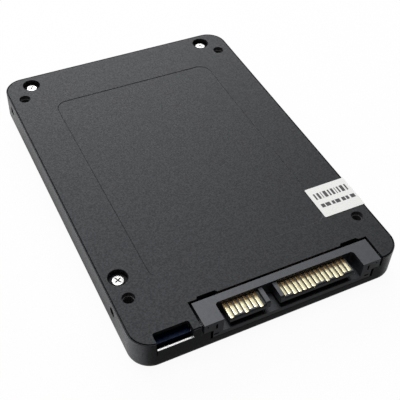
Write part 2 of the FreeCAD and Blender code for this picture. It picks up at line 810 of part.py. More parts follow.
def group(label, pieces):
    compound = doc.addObject("Part::Compound", label)
    compound.Label = label
    compound.Links = pieces
    doc.recompute()
    nodes.append(compound)
    return compound


def make_packages():
    for name, x, y, width, length, height in PACKAGES:
        rounded_block(name, str(x), from_front(y), BOARD_TOP, str(width), str(length),
                      str(height))
    number = 0
    for low in (BOARD_TOP, f"{BOARD_BOTTOM} - flash_height"):
        for rank in (0, 1):
            for side in (-1, 1):
                number += 1
                rounded_block(f"flash_chip_{number}", f"{side} * flash_x",
                              from_front(f"flash_front + {rank} * flash_pitch"), low,
                              "flash_width", "flash_length", "flash_height")
    for name, width, length, height, places in GROUPS:
        pieces = [block(f"{name}_{i}", str(x), from_front(y), BOARD_TOP, str(width),
                        str(length), str(height))
                  for i, (x, y) in enumerate(places, start=1)]
        group(name, pieces)


def make_thermal_pads():
    name, x, y, width, length, height = PACKAGES[0]
    rounded_block("controller_thermal_pad", str(x), from_front(y), f"{BOARD_TOP} + {height}",
                  f"{width} - 2 * pad_margin", f"{length} - 2 * pad_margin",
                  f"board_drop - cover_thickness - {height} - mount_boss_gap")
    for name, side in (("left_flash_thermal_pad", -1), ("right_flash_thermal_pad", 1)):
        rounded_block(name, f"{side} * flash_x", from_front("pad_middle"),
                      f"{BOARD_BOTTOM} - flash_height - pad_thickness",
                      "pad_width", "pad_length", "pad_thickness")


def make_solder_tabs():
    """Tabs that run from under the connector's ears to their solder joints outside."""
    places = ("plug_left - tab_reach + tab_width / 2", "plug_right + tab_reach - tab_width / 2")
    tabs = [block(f"solder_tab_{i}", x, from_front("tab_from_front"), BOARD_TOP, "tab_width",
                  "tab_length", "board_drop - plug_ear_drop")
            for i, x in enumerate(places, start=1)]
    group("connector_solder_tabs", tabs)


# ---- labels ----------------------------------------------------------------------------------

def make_product_label():
    """The blank label in its bed on the resting side, clear of the surface below."""
    rounded_block("product_label", "0", from_front("(label_front + label_back) / 2"),
                  "label_recess - label_thickness", "label_width",
                  "label_back - label_front", "label_thickness", "label_radius")


def make_seal():
    """The seal over one case screw, folded down over the side wall."""
    body = new_body("warranty_seal")
    inner = "case_width / 2 + seal_gap"
    outer = f"{inner} + seal_thickness"
    top = "case_height + seal_thickness"
    profile = new_sketch(body, "profile", "XZ_Plane", "case_length / 2 - seal_back")
    polygon(profile, (
        ("seal_left", "case_height"), (inner, "case_height"),
        (inner, "case_height - seal_drop"), (outer, "case_height - seal_drop"),
        (outer, top), ("seal_left", top),
    ))
    pad(body, profile, "seal_back - seal_front")
    bend_x = worth(outer)
    bend_z = worth(top)
    dress(body, "Fillet",
          lambda edge: is_level(edge, bend_z) and abs(edge.BoundBox.XMin - bend_x) < SAME,
          Radius="seal_bend")
    left = worth("seal_left")
    low = worth("case_height - seal_drop")
    dress(body, "Fillet",
          lambda edge: (is_upright(edge) and abs(edge.BoundBox.XMin - left) < SAME)
          or (is_level(edge, low) and edge.Length < 2 * worth("seal_thickness")),
          Radius="seal_radius")
    return body


# ---- the drive -------------------------------------------------------------------------------

def check():
    """Stop if any object failed or any node's shape is bad."""
    failed = [item.Name for item in doc.Objects
              if "Invalid" in item.State or "Error" in item.State]
    if failed:
        raise RuntimeError(f"failed objects: {failed}")
    for node in nodes:
        if node.Shape.isNull() or not node.Shape.isValid() or not node.Shape.Solids:
            raise RuntimeError(f"bad shape: {node.Label}")


def write():
    os.makedirs("parts", exist_ok=True)
    for node in nodes:
        node.Shape.exportStep(os.path.join("parts", f"{node.Label}.step"))
        box = node.Shape.BoundBox
        print(f"{node.Label:28s} solids {len(node.Shape.Solids):2d}"
              f"  volume {node.Shape.Volume:9.2f}"
              f"  x {box.XMin:7.2f} {box.XMax:7.2f}  y {box.YMin:7.2f} {box.YMax:7.2f}"
              f"  z {box.ZMin:6.2f} {box.ZMax:6.2f}")


make_housing()
make_cover()
for screw, (screw_x, screw_y) in CASE_SCREWS.items():
    make_screw(screw, screw_x, screw_y, "case_height - counterbore_depth", "screw_head_radius",
               "screw_head_height", "screw_shank_radius", "screw_shank_length")
for screw, (screw_x, screw_y) in BOARD_SCREWS.items():
    make_screw(screw, screw_x, screw_y, BOARD_TOP, "board_screw_head_radius",
               "board_screw_head_height", "board_screw_shank_radius",
               "board_screw_shank_length")
make_connector_shell()
make_contacts("signal_contacts", "first_signal_x", SIGNAL_COUNT, LONG_SIGNAL)
make_contacts("power_contacts", "first_power_x", POWER_COUNT, LONG_POWER)
make_board()
make_packages()
make_thermal_pads()
make_solder_tabs()
make_product_label()
make_seal()
doc.recompute()
check()
write()
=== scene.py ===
import json
import math

import bmesh
import bpy
from mathutils import Matrix, Vector


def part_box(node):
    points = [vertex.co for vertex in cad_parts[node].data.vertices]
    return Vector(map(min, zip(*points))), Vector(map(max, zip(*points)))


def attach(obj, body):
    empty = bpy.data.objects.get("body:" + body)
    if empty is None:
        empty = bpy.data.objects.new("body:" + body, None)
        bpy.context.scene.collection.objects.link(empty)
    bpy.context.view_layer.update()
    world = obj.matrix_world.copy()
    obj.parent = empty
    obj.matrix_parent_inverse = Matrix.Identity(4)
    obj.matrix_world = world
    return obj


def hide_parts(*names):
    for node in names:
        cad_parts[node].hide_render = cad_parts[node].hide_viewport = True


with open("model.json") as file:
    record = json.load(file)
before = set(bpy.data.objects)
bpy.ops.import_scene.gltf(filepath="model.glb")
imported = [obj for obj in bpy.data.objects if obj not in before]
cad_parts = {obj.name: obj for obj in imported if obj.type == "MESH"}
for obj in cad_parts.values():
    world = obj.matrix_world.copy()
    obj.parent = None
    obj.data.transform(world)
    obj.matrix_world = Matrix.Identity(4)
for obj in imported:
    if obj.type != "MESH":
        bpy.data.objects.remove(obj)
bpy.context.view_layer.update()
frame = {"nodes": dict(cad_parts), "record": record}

MM = 0.001
ROOT = "drive_body"

housing_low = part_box("housing")[0]
board_low, board_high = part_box("circuit_board")
cover_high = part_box("bottom_cover")[1]
seal_low, seal_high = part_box("warranty_seal")
label_low, label_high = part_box("product_label")

TOP = cover_high.z
FRONT = housing_low.y
SLOT_LEFT = -30.0 * MM
SLOT_RIGHT = -21.2 * MM
SLOT_DROP = 2.45 * MM
HOLE_X = 30.86 * MM
HOLE_ROWS = (-36.0 * MM, 40.6 * MM)
HOLE_REACH = 1.56 * MM
TINT = (0.90, 0.93, 1.0, 1.0)
CUT_THREAD = (0.09, 0.09, 0.095)
CUT_METAL = (0.80, 0.80, 0.79)
# Spatial frequency of the thermal pads' weave, in radians per metre.
WEAVE = 9000.0
# A case screw's head ends 0.01 mm short of its seat, so the two never lie in one plane.
CASE_HEAD = 0.74 * MM
BOARD_HEAD = 0.78 * MM

# ---- materials ---------------------------------------------------------------------------


class Finish:
    """A node material under construction, with short names for the nodes it needs."""

    def __init__(self, name, colour=(0.5, 0.5, 0.5), rough=0.5, metal=0.0, specular=0.5):
        self.material = bpy.data.materials.new(name)
        self.material.use_nodes = True
        self.tree = self.material.node_tree
        self.shader = self.tree.nodes["Principled BSDF"]
        self.set("Base Color", (*colour, 1.0))
        self.set("Roughness", rough)
        self.set("Metallic", metal)
        self.set("Specular IOR Level", specular)
        self.place = self.tree.nodes.new("ShaderNodeTexCoord").outputs["Object"]

    def set(self, socket, value):
        self.shader.inputs[socket].default_value = value

    def link(self, output, socket):
        self.tree.links.new(output, self.shader.inputs[socket])

    def node(self, kind, inputs=(), **settings):
        made = self.tree.nodes.new(kind)
        for key, value in settings.items():
            setattr(made, key, value)
        for key, value in dict(inputs).items():
            if isinstance(value, bpy.types.NodeSocket):
                self.tree.links.new(value, made.inputs[key])
            else:
                made.inputs[key].default_value = value
        return made

    def noise(self, size, detail=2.0, roughness=0.5, place=None):
        """Noise whose features are about size metres across."""
        inputs = {"Vector": place or self.place, "Scale": 1.0 / size, "Detail": detail,
                  "Roughness": roughness}
        return self.node("ShaderNodeTexNoise", inputs).outputs["Fac"]

    def cells(self, size, randomness=1.0):
        """Distance, as a share of size, to the nearest of points about size metres apart."""
        inputs = {"Vector": self.place, "Scale": 1.0 / size, "Randomness": randomness}
        return self.node("ShaderNodeTexVoronoi", inputs).outputs["Distance"]

    def math(self, operation, a, b=0.0):
        inputs = {0: a, 1: b}
        return self.node("ShaderNodeMath", inputs, operation=operation).outputs[0]

    def remap(self, value, low, high, out_low=0.0, out_high=1.0):
        """Map low..high to out_low..out_high, and hold the ends outside it."""
        inputs = {"Value": value, "From Min": low, "From Max": high, "To Min": out_low,
                  "To Max": out_high}
        return self.node("ShaderNodeMapRange", inputs, clamp=True).outputs["Result"]

    def axes(self):
        parts = self.node("ShaderNodeSeparateXYZ", {"Vector": self.place})
        return parts.outputs["X"], parts.outputs["Y"], parts.outputs["Z"]

    def band(self, value, low, high, soft=0.00001):
        """1 where value lies between low and high, 0 outside."""
        rise = self.remap(value, low - soft, low + soft)
        fall = self.remap(value, high - soft, high + soft, 1.0, 0.0)
        return self.math("MULTIPLY", rise, fall)

    def area(self, low, high):
        """1 inside the box from low to high, 0 outside."""
        bands = [self.band(value, a, b) for value, a, b in zip(self.axes(), low, high)]
        return self.math("MULTIPLY", self.math("MULTIPLY", bands[0], bands[1]), bands[2])

    def bores(self):
        """1 inside the tapped mounting holes, 0 elsewhere."""
        x, y, z = self.axes()
        column = self.math("ABSOLUTE", self.math("SUBTRACT", self.math("ABSOLUTE", x), HOLE_X))
        reach = None
        for hole_y in HOLE_ROWS:
            row = self.math("SUBTRACT", y, hole_y)
            far = self.math("SQRT", self.math("ADD", self.math("MULTIPLY", column, column),
                                              self.math("MULTIPLY", row, row)))
            reach = far if reach is None else self.math("MINIMUM", reach, far)
        inside = self.remap(reach, HOLE_REACH - 0.02 * MM, HOLE_REACH + 0.02 * MM, 1.0, 0.0)
        return self.math("MULTIPLY", inside,
                         self.band(z, 2 * MM, TOP - 0.12 * MM))

    def mix(self, factor, one, two):
        """Colour one where factor is 0, two where it is 1."""
        made = self.node("ShaderNodeMix", (), data_type="RGBA")
        for key, value in (("Factor", factor), ("A", one), ("B", two)):
            socket = [s for s in made.inputs if s.name == key and s.enabled][0]
            if isinstance(value, bpy.types.NodeSocket):
                self.tree.links.new(value, socket)
            else:
                socket.default_value = value if key == "Factor" else (*value, 1.0)
        return [s for s in made.outputs if s.enabled][0]

    def bump(self, height, distance, strength):
        inputs = {"Height": height, "Distance": distance, "Strength": strength}
        self.link(self.node("ShaderNodeBump", inputs).outputs["Normal"], "Normal")


def shades(colour, dark, light):
    """A darker and a lighter version of a colour."""
    return tuple(c * dark for c in colour), tuple(c * light for c in colour)


def textured_paint(name, colour, bare=None):
    """Fine textured paint: a dense grain with small specks, a little uneven in gloss.

    bare is an optional box (low, high) where a cut edge shows clean metal. The tapped
    mounting holes show the grey of cut threads."""
    finish = Finish(name, colour, 0.55, specular=0.36)
    finish.set("Specular Tint", TINT)
    grain = finish.noise(0.35 * MM, detail=3.0, roughness=0.65)
    specks = finish.cells(0.28 * MM)
    drift = finish.noise(26 * MM, detail=2.0)
    dark, light = shades(colour, 0.5, 1.6)
    tone = finish.mix(finish.remap(grain, 0.32, 0.68), dark, light)
    tone = finish.mix(finish.remap(drift, 0.3, 0.7, 0.0, 0.18), tone, colour)
    tone = finish.mix(finish.remap(specks, 0.0, 0.16, 0.30, 0.0), tone,
                      tuple(min(1.0, c * 2.2) for c in colour))
    rough = finish.remap(grain, 0.3, 0.7, 0.50, 0.66)
    clumps = finish.noise(0.42 * MM, detail=1.0, roughness=0.4)
    finish.link(finish.remap(clumps, 0.34, 0.66, 0.27, 0.45), "Specular IOR Level")
    bore = finish.bores()
    tone = finish.mix(bore, tone, CUT_THREAD)
    if bare:
        mask = finish.area(*bare)
        brushed = finish.noise(0.15 * MM, detail=2.0)
        tone = finish.mix(mask, tone, CUT_METAL)
        rough = finish.mix(mask, rough, (0.32, 0.32, 0.32))
        finish.link(mask, "Metallic")
        grain = finish.math("ADD", grain, finish.math("MULTIPLY", brushed, mask))
    finish.link(tone, "Base Color")
    finish.link(rough, "Roughness")
    finish.bump(finish.math("ADD", grain, specks), 0.02 * MM, 0.55)
    return finish.material


def moulded(name, colour, rough, grain=0.25, depth=0.006, spread=0.18, specular=0.5):
    """Moulded plastic or epoxy: fine spark texture and faint flow marks."""
    finish = Finish(name, colour, rough, specular=specular)
    finish.set("Specular Tint", TINT)
    marbling = finish.noise(0.9 * MM, detail=3.0, roughness=0.6)
    finish.link(finish.remap(marbling, 0.3, 0.7, specular * 0.88, min(1.0, specular * 1.12)),
                "Specular IOR Level")
    fine = finish.noise(grain * MM, detail=3.0, roughness=0.6)
    flow = finish.noise(5 * MM, detail=3.0)
    dark, light = shades(colour, 1 - spread, 1 + spread)
    tone = finish.mix(finish.remap(fine, 0.3, 0.7), dark, light)
    tone = finish.mix(finish.remap(flow, 0.35, 0.7, 0.0, 0.35), tone, light)
    finish.link(tone, "Base Color")
    finish.link(finish.remap(fine, 0.3, 0.7, rough - 0.06, rough + 0.08), "Roughness")
    finish.bump(fine, depth * MM, 0.6)
    return finish.material


def metal(name, colour, rough, stretch=(1.0, 1.0, 1.0), painted_rear_reflection=None):
    """Plated or drawn metal: fine grain in its gloss and small stains.

    stretch draws the grain out along the axis whose number is smallest. The last
    argument is an optional (start, end, colour): from start to end along Y the colour darkens
    into the given one, a painted reflection of the dark wall behind the blades, and the gloss grows
    rougher."""
    finish = Finish(name, colour, rough, metal=1.0)
    mapping = finish.node("ShaderNodeMapping", {"Vector": finish.place, "Scale": stretch})
    lines = finish.noise(0.12 * MM, detail=3.0, place=mapping.outputs["Vector"])
    stain = finish.noise(1.1 * MM, detail=2.0)
    dark, light = shades(colour, 0.86, 1.06)
    tone = finish.mix(finish.remap(stain, 0.35, 0.65), dark, tuple(min(1.0, c) for c in light))
    gloss = finish.remap(lines, 0.3, 0.7, rough - 0.05, rough + 0.10)
    if painted_rear_reflection:
        # Painted reflection: the rear of the blades darkens as if mirroring the connector's dark
        # back wall.
        start, end, brown = painted_rear_reflection
        fade = finish.remap(finish.axes()[1], start, end)
        tone = finish.mix(fade, tone, brown)
        gloss = finish.math("ADD", gloss, finish.math("MULTIPLY", fade, 0.22))
    finish.link(tone, "Base Color")
    finish.link(gloss, "Roughness")
    finish.bump(lines, 0.004 * MM, 0.5)
    return finish.material


def solder_mask(name, colour, copper):
    """A board's mask over copper: routed lines and vias show as paler, raised tone."""
    finish = Finish(name, colour, 0.32, specular=0.5)
    finish.set("Coat Weight", 0.25)
    finish.set("Coat Roughness", 0.18)
    x = finish.axes()[0]
    wander = finish.noise(7 * MM, detail=1.0)
    bundles = finish.math("ADD", x, finish.math("MULTIPLY", wander, 9 * MM))
    tracks = finish.math("PINGPONG", finish.math("MULTIPLY", bundles, 1.0 / (0.45 * MM)), 0.5)
    routed = finish.remap(finish.noise(11 * MM, detail=2.0), 0.49, 0.52)
    lines = finish.math("MULTIPLY", finish.remap(tracks, 0.20, 0.28), routed)
    vias = finish.remap(finish.cells(2.1 * MM, randomness=0.8), 0.07, 0.10, 1.0, 0.0)
    raised = finish.math("MAXIMUM", lines, vias)
    finish.link(finish.mix(raised, colour, copper), "Base Color")
    finish.link(finish.remap(finish.noise(0.5 * MM), 0.3, 0.7, 0.26, 0.40), "Roughness")
    finish.bump(raised, 0.02 * MM, 0.5)
    return finish.material


def film(name, colour, marks=(), ink=(0.20, 0.20, 0.21)):
    """Printed film: satin white stock with plain bars in the given boxes."""
    finish = Finish(name, colour, 0.38, specular=0.5)
    fibre = finish.noise(0.4 * MM, detail=3.0)
    dark, light = shades(colour, 0.965, 1.0)
    tone = finish.mix(finish.remap(fibre, 0.3, 0.7), dark, light)
    for low, high in marks:
        tone = finish.mix(finish.area(low, high), tone, ink)
    finish.link(tone, "Base Color")
    finish.link(finish.remap(fibre, 0.3, 0.7, 0.34, 0.46), "Roughness")
    finish.bump(finish.noise(1.5 * MM, detail=2.0), 0.02 * MM, 0.4)
    return finish.material


def rubber(name, colour):
    """Soft thermal pad: chalky, filled silicone with a woven carrier showing through."""
    finish = Finish(name, colour, 0.72, specular=0.3)
    x, y = finish.axes()[:2]
    weave = finish.math("MULTIPLY", finish.math("SINE", finish.math("MULTIPLY", x, WEAVE)),
                        finish.math("SINE", finish.math("MULTIPLY", y, WEAVE)))
    dust = finish.noise(0.3 * MM, detail=3.0)
    dark, light = shades(colour, 0.84, 1.12)
    finish.link(finish.mix(finish.remap(dust, 0.3, 0.7), dark, light), "Base Color")
    finish.bump(finish.math("ADD", weave, dust), 0.015 * MM, 0.5)
    return finish.material


CHARCOAL = (0.0105, 0.0107, 0.0120)
bare_edge = (Vector((SLOT_LEFT - 0.1 * MM, FRONT - 0.1 * MM, TOP - SLOT_DROP - 0.12 * MM)),
             Vector((SLOT_RIGHT + 0.1 * MM, FRONT + 0.38 * MM, TOP - SLOT_DROP + 0.02 * MM)))
paint = textured_paint("charcoal_paint", CHARCOAL)
housing_paint = textured_paint("charcoal_paint_cut_edge", CHARCOAL, bare_edge)
connector_plastic = moulded("connector_plastic", (0.017, 0.018, 0.020), 0.42, specular=0.98)
# The blade rears, from y -47.0 to -46.3 mm, are painted dark brown: a painted reflection of the
# connector's dark back wall.
gold = metal("contact_gold", (1.0, 0.89, 0.57), 0.20, stretch=(6.0, 0.6, 6.0),
             painted_rear_reflection=(-47.0 * MM, -46.3 * MM, (0.30, 0.20, 0.09)))
nickel = metal("screw_nickel", (0.72, 0.72, 0.71), 0.34)
# Dark metal for the screws' cross recesses: painted shade where the recess falls dark.
painted_recess_shade = metal("painted_recess_shade", (0.10, 0.10, 0.10), 0.55)
tin = metal("tinned_metal", (0.78, 0.78, 0.77), 0.34)
mask = solder_mask("blue_solder_mask", (0.008, 0.020, 0.060), (0.016, 0.040, 0.110))
epoxy = moulded("package_epoxy", (0.022, 0.022, 0.024), 0.50)
substrate = moulded("package_substrate", (0.020, 0.070, 0.040), 0.40)
yellow = moulded("capacitor_yellow", (0.78, 0.43, 0.06), 0.42, spread=0.08)
stripe = moulded("capacitor_stripe", (0.40, 0.18, 0.02), 0.42, spread=0.08)
ceramic = moulded("capacitor_ceramic", (0.42, 0.27, 0.16), 0.40, spread=0.10)
alumina = moulded("resistor_ceramic", (0.80, 0.79, 0.76), 0.50, spread=0.05)
ferrite = moulded("inductor_ferrite", (0.085, 0.086, 0.092), 0.62, grain=0.18, depth=0.02)
pad_grey = rubber("thermal_pad", (0.44, 0.50, 0.56))


def bar(low, high, x0, x1, y0, y1):
    """A printed bar's box, given as shares of the label's width and length."""
    span = high - low
    return (Vector((low.x + x0 * span.x, low.y + y0 * span.y, low.z - MM)),
            Vector((low.x + x1 * span.x, low.y + y1 * span.y, high.z + MM)))


def row_of_bars(low, high, pattern, first, last, y0, y1):
    """Upright bars side by side along X; pattern gives each bar's and each gap's width."""
    total = sum(pattern)
    place = first
    bars = []
    for i, width in enumerate(pattern):
        step = (last - first) * width / total
        if i % 2 == 0:
            bars.append(bar(low, high, place, place + step, y0, y1))
        place += step
    return bars


seal_film = film(
    "seal_film", (0.84, 0.84, 0.82),
    row_of_bars(seal_low, seal_high, (2, 2, 3, 2, 1, 2, 4, 2, 2, 2, 3, 2, 1, 2, 2, 2, 4, 2, 2),
                0.10, 0.92, 0.58, 0.79)
    + row_of_bars(seal_low, seal_high, (4, 1, 5, 2, 3, 1, 5, 2, 4, 1, 3, 2, 5),
                  0.10, 0.95, 0.30, 0.42), ink=(0.055, 0.055, 0.060))
label_film = film("label_film", (0.78, 0.78, 0.77), [
    bar(label_low, label_high, 0.06, 0.94, 0.88, 0.95),
    bar(label_low, label_high, 0.06, 0.60, 0.76, 0.78),
    bar(label_low, label_high, 0.06, 0.50, 0.70, 0.72),
    bar(label_low, label_high, 0.06, 0.94, 0.06, 0.07)], ink=(0.16, 0.20, 0.26))

# ---- mesh helpers ------------------------------------------------------------------------


def islands(node):
    """The box (low, high) of every separate solid of a CAD node, from left to right."""
    bm = bmesh.new()
    bm.from_mesh(frame["nodes"][node].data)
    bmesh.ops.remove_doubles(bm, verts=bm.verts, dist=1e-7)
    boxes = []
    seen = set()
    for start in bm.verts:
        if start in seen:
            continue
        found = [start]
        seen.add(start)
        for vert in found:
            for edge in vert.link_edges:
                other = edge.other_vert(vert)
                if other not in seen:
                    seen.add(other)
                    found.append(other)
        low = Vector([min(v.co[i] for v in found) for i in range(3)])
        high = Vector([max(v.co[i] for v in found) for i in range(3)])
        boxes.append((low, high))
    bm.free()
    return sorted(boxes, key=lambda pair: (round(pair[0].x, 5), pair[0].y))


def add_box(bm, low, high, bevel=0.0, slot=0, segments=2):
    """A block between two corners, with its edges rounded by bevel."""
    low, high = Vector(low), Vector(high)
    part = bmesh.new()
    bmesh.ops.create_cube(part, size=1.0)
    centre = (low + high) / 2
    span = high - low
    for vert in part.verts:
        vert.co = Vector((vert.co.x * span.x, vert.co.y * span.y, vert.co.z * span.z)) + centre
    if bevel:
        bmesh.ops.bevel(part, geom=part.edges[:], offset=bevel, segments=segments,
                        profile=0.5, affect="EDGES")
    join(bm, part, slot)


def join(bm, part, slot=0):
    """Add part to bm with every face in one material slot, and free part."""
    for face in part.faces:
        face.material_index = slot
    scratch = bpy.data.meshes.new("scratch")
    part.to_mesh(scratch)
    part.free()
    first = len(bm.faces)
    bm.from_mesh(scratch)
    bm.faces.ensure_lookup_table()
    for face in bm.faces[first:]:
        face.material_index = slot
    bpy.data.meshes.remove(scratch)


def add_prism(bm, outline, low, high, bevel=0.0):
    """An upright prism over a plan outline, its top and bottom edges rounded."""
    part = bmesh.new()
    bottom = [part.verts.new((x, y, low)) for x, y in outline]
    top = [part.verts.new((x, y, high)) for x, y in outline]
    count = len(outline)
    part.faces.new(bottom[::-1])
    part.faces.new(top)
    for i in range(count):
        k = (i + 1) % count
        part.faces.new((bottom[i], bottom[k], top[k], top[i]))
    if bevel:
        rims = [e for e in part.edges if abs(e.verts[0].co.z - e.verts[1].co.z) < 1e-9]
        bmesh.ops.bevel(part, geom=rims, offset=bevel, segments=2, profile=0.5,
                        affect="EDGES")
    join(bm, part)


def add_lathe(bm, profile, centre, steps=48, slot=0):
    """A solid of revolution about an upright axis; profile is (radius, height) from low to high."""
    part = bmesh.new()
    rings = []
    for radius, height in profile:
        if radius < 1e-9:
            rings.append([part.verts.new((centre[0], centre[1], centre[2] + height))])
            continue
        ring = []
        for i in range(steps):
            angle = 2 * math.pi * i / steps
            ring.append(part.verts.new((centre[0] + radius * math.cos(angle),
                                        centre[1] + radius * math.sin(angle),
                                        centre[2] + height)))
        rings.append(ring)
    for below, above in zip(rings, rings[1:]):
        for i in range(steps):
            k = (i + 1) % steps
            if len(below) == 1:
                part.faces.new((below[0], above[i], above[k])[::-1])
            elif len(above) == 1:
                part.faces.new((below[i], below[k], above[0]))
            else:
                part.faces.new((below[i], below[k], above[k], above[i]))
    bmesh.ops.recalc_face_normals(part, faces=part.faces[:])
    join(bm, part, slot)


def piece(name, bm, materials, body, replaces=(), smooth=35):
    """Turn a bmesh into a piece that rides on a body and stands for CAD nodes."""
    mesh = bpy.data.meshes.new(name)
    bm.to_mesh(mesh)
    bm.free()
    for item in materials:
        mesh.materials.append(item)
    made = bpy.data.objects.new(name, mesh)
    bpy.context.scene.collection.objects.link(made)
    mesh.polygons.foreach_set("use_smooth", [True] * len(mesh.polygons))
    with bpy.context.temp_override(active_object=made, selected_editable_objects=[made],
                                   object=made, selected_objects=[made]):
        bpy.ops.object.shade_smooth_by_angle(angle=math.radians(smooth))
    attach(made, body)
    if replaces:
        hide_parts(*replaces)
    return made


def dress(node, item):
    """Give a CAD node that stays its finished material."""
    for slot in frame["nodes"][node].material_slots:
        slot.material = item


# ---- pieces ------------------------------------------------------------------------------


def contact_blades(node):
    """Rounded contact blades on the tongue, with the leg and foot behind the shell."""
    bm = bmesh.new()
    thick = 0.2 * MM
    corner = 0.26 * MM
    for low, high in islands(node):
        back = high.y - 1.1 * MM
        outline = [(high.x, back), (low.x, back)]
        for middle, start in ((low.x + corner, 180), (high.x - corner, 270)):
            for step in range(5):
                angle = math.radians(start + 22.5 * step)
                outline.append((middle + corner * math.cos(angle),
                                low.y + corner + corner * math.sin(angle)))
        add_prism(bm, outline, high.z - thick, high.z, 0.035 * MM)
        add_box(bm, (low.x, back - thick, low.z), (high.x, back, high.z - thick / 2), 0.03 * MM)
        add_box(bm, (low.x, back - thick, low.z), (high.x, high.y, low.z + thick), 0.03 * MM)
    piece(f"{node}_blades", bm, [gold], ROOT, [node])


def thread(bm, centre, radius, low, high, pitch, depth):
    """A threaded shank: a cylinder whose radius follows the helix."""
    part = bmesh.new()
    around = 32
    levels = max(8, int((high - low) / pitch * 8))
    rings = []
    for j in range(levels + 1):
        height = low + (high - low) * j / levels
        fade = min(1.0, (high - height) / pitch, (height - low) / pitch)
        ring = []
        for i in range(around):
            angle = 2 * math.pi * i / around
            phase = (height / pitch - i / around) % 1.0
            ridge = abs(2 * phase - 1)
            size = radius - depth * (1 - ridge * max(fade, 0.0))
            ring.append(part.verts.new((centre[0] + size * math.cos(angle),
                                        centre[1] + size * math.sin(angle), height)))
        rings.append(ring)
    for below, above in zip(rings, rings[1:]):
        for i in range(around):
            k = (i + 1) % around
            part.faces.new((below[i], below[k], above[k], above[i]))
    part.faces.new(rings[0][::-1])
    part.faces.new(rings[-1])
    join(bm, part)


# Degrees by which each case screw's recess is turned.
SCREW_TURNS = {"front_left_case_screw": 25.0, "back_left_case_screw": 62.0,
               "back_right_case_screw": 12.0}


def screw(node, body):
    """A pan-head screw with a tapered cross recess and a real thread."""
    low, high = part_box(node)
    x, y = (low.x + high.x) / 2, (low.y + high.y) / 2
    head = (high.x - low.x) / 2
    tall = BOARD_HEAD if node.endswith("board_screw") else CASE_HEAD
    seat = high.z - tall
    crown = 0.24 * MM
    profile = [(0.0, seat), (head - 0.06 * MM, seat), (head, seat + 0.06 * MM),
               (head, high.z - crown)]
    for step in range(1, 6):
        angle = math.radians(18 * step)
        profile.append((head - crown * (1 - math.cos(angle)) * 1.1,
                        high.z - crown + crown * 0.82 * math.sin(angle)))
    profile += [(head * 0.45, high.z - 0.012 * MM), (0.0, high.z)]
    bm = bmesh.new()
    add_lathe(bm, profile, (x, y, 0.0))
    thread(bm, (x, y), head * 0.62, low.z, seat + 0.05 * MM, 0.4 * MM, 0.13 * MM)
    made = piece(f"{node}_detail", bm, [nickel, painted_recess_shade], body, [node],
                 smooth=30)
    cutter_mesh = bpy.data.meshes.new("cutter")
    cutter_bm = bmesh.new()
    arm, half, depth = head * 0.56, 0.15 * MM, 0.42 * MM
    turn = Matrix.Rotation(math.radians(SCREW_TURNS.get(node, 0.0)), 3, "Z")
    for wide, deep in ((arm, half), (half, arm)):
        part = bmesh.new()
        bmesh.ops.create_cube(part, size=1.0)
        for vert in part.verts:
            shrink = 1.15 if vert.co.z > 0 else 0.55
            height = high.z + 0.1 * MM if vert.co.z > 0 else high.z - depth
            corner = turn @ Vector((math.copysign(wide * shrink, vert.co.x),
                                    math.copysign(deep * (shrink + 0.1), vert.co.y), 0.0))
            vert.co = Vector((x + corner.x, y + corner.y, height))
        join(cutter_bm, part)
    cutter_bm.to_mesh(cutter_mesh)
    cutter_bm.free()
    cutter = bpy.data.objects.new("cutter", cutter_mesh)
    bpy.context.scene.collection.objects.link(cutter)
    cut = made.modifiers.new("recess", "BOOLEAN")
    cut.operation = "DIFFERENCE"
    cut.object = cutter
    cut.solver = "EXACT"
    cut.use_self = True
    bake_modifiers(made)
    bpy.data.objects.remove(cutter)
    # Faces inside the cross recess take the dark metal: painted shade in the recess.
    for polygon in made.data.polygons:
        middle = polygon.center
        out = math.hypot(middle.x - x, middle.y - y)
        if out < arm * 1.2 and seat < middle.z < high.z - 0.03 * MM:
            polygon.material_index = 1


def bake_modifiers(made):
    """Apply every modifier of a piece to its mesh."""
    bpy.context.view_layer.update()
    graph = bpy.context.evaluated_depsgraph_get()
    mesh = bpy.data.meshes.new_from_object(made.evaluated_get(graph))
    made.modifiers.clear()
    made.data = mesh


def flash_chip(node):
    """A thin leaded memory package: bevelled epoxy body and gull-wing leads."""
    low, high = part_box(node)
    below = high.z <= board_low.z + 0.01 * MM
    foot, face = (high.z, low.z) if below else (low.z, high.z)
    up = 1 if face > foot else -1
    bm = bmesh.new()
    body_low, body_high = low.y + 0.85 * MM, high.y - 0.85 * MM
    lift = 0.12 * MM
    z0, z1 = sorted((foot + up * lift, face))
    add_box(bm, (low.x + 0.1 * MM, body_low, z0), (high.x - 0.1 * MM, body_high, z1), 0.12 * MM)
    count, pitch, wide = 24, 0.5 * MM, 0.2 * MM
    middle = (low.x + high.x) / 2
    for end, out in ((body_low, -1), (body_high, 1)):
        for i in range(count):
            x = middle + (i - (count - 1) / 2) * pitch
            mid = foot + up * 0.6 * MM
            add_leg(bm, x, end, out, mid, foot, wide, up)
    piece(f"{node}_package", bm, [epoxy, tin], ROOT, [node])


def add_leg(bm, x, end, out, shoulder, foot, wide, up):
    """One gull-wing lead, as a bent strip of constant thickness."""
    thick = 0.12 * MM * up
    path = [(end - out * 0.1 * MM, shoulder), (end + out * 0.25 * MM, shoulder),
            (end + out * 0.38 * MM, foot + thick), (end + out * 0.8 * MM, foot + thick)]
    part = bmesh.new()
    rows = []
    for y, z in path:
        rows.append([part.verts.new((x - wide / 2, y, z)), part.verts.new((x + wide / 2, y, z)),
                     part.verts.new((x + wide / 2, y, z - thick)),
                     part.verts.new((x - wide / 2, y, z - thick))])
    for a, b in zip(rows, rows[1:]):
        for i in range(4):
            k = (i + 1) % 4
            part.faces.new((a[i], a[k], b[k], b[i]))
    part.faces.new(rows[0])
    part.faces.new(rows[-1][::-1])
    bmesh.ops.recalc_face_normals(part, faces=part.faces[:])
    join(bm, part, 1)


